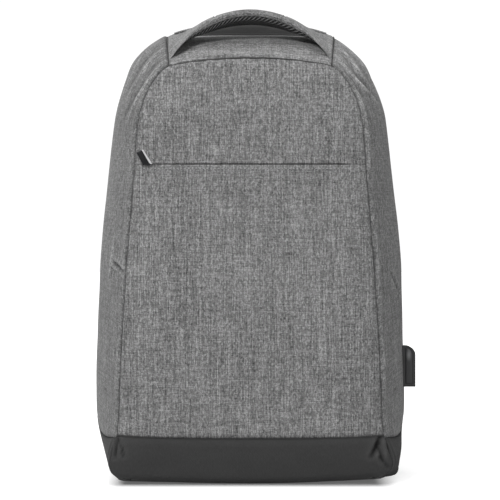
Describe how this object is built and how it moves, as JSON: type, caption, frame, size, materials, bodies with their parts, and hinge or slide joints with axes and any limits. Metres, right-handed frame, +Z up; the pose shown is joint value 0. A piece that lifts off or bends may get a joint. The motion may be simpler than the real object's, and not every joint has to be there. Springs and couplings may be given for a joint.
{
  "type": "backpack",
  "caption": "Upright padded laptop backpack with a concealed front pocket, a carry handle, a rear-opening main compartment, padded shoulder straps and a side charging port.",
  "frame": {"origin": "centre of the base on the floor", "axes": "+Z up, the front panel faces -Y, the wearer's side faces +Y, the charging port is on the +X side"},
  "size_m": [0.3147, 0.1876, 0.452],
  "materials": {
    "melange_fabric": "two-tone grey heather weave",
    "base_fabric": "plain charcoal weave",
    "lining_fabric": "plain weave lining",
    "air_mesh": "open three-dimensional spacer mesh over foam",
    "black_webbing": "woven webbing and zip tape",
    "board": "matt stiffener sheet",
    "black_plastic": "fine satin moulding",
    "dark_metal": "satin dark coating",
    "bright_metal": "satin",
    "white_plastic": "satin",
    "contact_metal": "satin",
    "bank_plastic": "satin moulding"
  },
  "bodies": {
    "shell": {"front_panel_upper": "melange_fabric", "front_panel_lower": "melange_fabric", "side_gusset_left": "melange_fabric", "side_gusset_right": "melange_fabric", "top_panel": "melange_fabric", "base_front": "base_fabric", "base_side_left": "base_fabric", "base_side_right": "base_fabric", "base_bottom": "base_fabric", "base_board": "board", "rear_sill": "base_fabric", "door_hinge_piping": "black_webbing", "pocket_zip_tape": "black_webbing", "pocket_lining": "lining_fabric", "handle_tabs": "melange_fabric", "handle_anchors": "black_webbing", "port_housing": "black_plastic", "port_flange": "black_plastic", "usb_shell": "bright_metal", "usb_tongue": "white_plastic", "usb_contacts": "contact_metal", "usb_cable": "black_plastic", "usb_plug_boot": "black_plastic", "usb_plug_shell": "bright_metal", "power_bank_case": "bank_plastic", "power_bank_pocket": "lining_fabric", "main_zip_tape_shell": "black_webbing"},
    "carry_handle": {"handle_sleeve": "melange_fabric", "handle_pad": "air_mesh"},
    "pocket_runner": {"pocket_slider": "dark_metal"},
    "pocket_tab": {"pocket_pull": "dark_metal", "pocket_pull_trim": "bright_metal"},
    "bank_button": {"power_bank_button": "bank_plastic"},
    "zip_runner_upper": {"main_slider_upper": "dark_metal"},
    "zip_tab_upper": {"main_pull_upper": "dark_metal"},
    "zip_runner_lower": {"main_slider_lower": "dark_metal"},
    "zip_tab_lower": {"main_pull_lower": "dark_metal"},
    "rear_panel": {"back_board": "lining_fabric", "back_pads": "air_mesh", "back_yoke": "melange_fabric", "strap_hems": "melange_fabric", "main_zip_tape_door": "black_webbing", "laptop_sleeve": "lining_fabric", "strap_tabs": "base_fabric", "webbing_left": "black_webbing", "webbing_right": "black_webbing"},
    "laptop_tie": {"laptop_strap": "black_webbing"},
    "strap_left": {"strap_pad_left": "melange_fabric", "strap_loop_left": "black_webbing"},
    "strap_right": {"strap_pad_right": "melange_fabric", "strap_loop_right": "black_webbing"},
    "buckle_left": {"ladder_lock_left": "black_plastic", "webbing_tail_left": "black_webbing"},
    "buckle_right": {"ladder_lock_right": "black_plastic", "webbing_tail_right": "black_webbing"}
  },
  "joints": [
    {"name": "rear_panel_opening", "type": "hinge", "parent": "shell", "child": "rear_panel", "pos_m": [0, 0.0585, 0.0145], "axis": [-1, 0, 0], "range_deg": [0, 65]},
    {"name": "handle_swing", "type": "hinge", "parent": "shell", "child": "carry_handle", "pos_m": [0, -0.00572, 0.42846], "axis": [1, 0, 0], "range_deg": [-9, 9]},
    {"name": "pocket_zip_slide", "type": "slide", "parent": "shell", "child": "pocket_runner", "axis": [1, 0, 0], "range_m": [0, 0.186]},
    {"name": "pocket_tab_lift", "type": "hinge", "parent": "pocket_runner", "child": "pocket_tab", "pos_m": [-0.095, -0.05705, 0.3], "axis": [0.8572, 0, 0.515], "range_deg": [0, 60]},
    {"name": "bank_button_press", "type": "slide", "parent": "shell", "child": "bank_button", "axis": [1, 0, 0], "range_m": [0, 0.0006], "stiffness_N_per_m": 800},
    {"name": "zip_upper_slide", "type": "slide", "parent": "shell", "child": "zip_runner_upper", "axis": [0.0276, 0, 0.9996], "range_m": [0, 0.056]},
    {"name": "zip_upper_tab_lift", "type": "hinge", "parent": "zip_runner_upper", "child": "zip_tab_upper", "pos_m": [-0.13729, 0.0589, 0.1585], "axis": [-0.9996, 0, 0.0276], "range_deg": [0, 75]},
    {"name": "zip_lower_slide", "type": "slide", "parent": "shell", "child": "zip_runner_lower", "axis": [-0.0276, 0, -0.9996], "range_m": [0, 0.056]},
    {"name": "zip_lower_tab_lift", "type": "hinge", "parent": "zip_runner_lower", "child": "zip_tab_lower", "pos_m": [-0.13776, 0.0589, 0.1415], "axis": [0.9996, 0, -0.0276], "range_deg": [0, 75]},
    {"name": "laptop_tie_lift", "type": "hinge", "parent": "rear_panel", "child": "laptop_tie", "pos_m": [0, 0.0545, 0.33], "axis": [-1, 0, 0], "range_deg": [0, 70]},
    {"name": "strap_left_swing", "type": "hinge", "parent": "rear_panel", "child": "strap_left", "pos_m": [-0.044, 0.0815, 0.412], "axis": [-1, 0, 0], "range_deg": [-14, 0]},
    {"name": "buckle_left_swing", "type": "hinge", "parent": "strap_left", "child": "buckle_left", "pos_m": [-0.092, 0.0854, 0.108], "axis": [-1, 0, 0], "range_deg": [-30, 0]},
    {"name": "strap_right_swing", "type": "hinge", "parent": "rear_panel", "child": "strap_right", "pos_m": [0.044, 0.0815, 0.412], "axis": [-1, 0, 0], "range_deg": [-14, 0]},
    {"name": "buckle_right_swing", "type": "hinge", "parent": "strap_right", "child": "buckle_right", "pos_m": [0.092, 0.0854, 0.108], "axis": [-1, 0, 0], "range_deg": [-30, 0]}
  ]
}
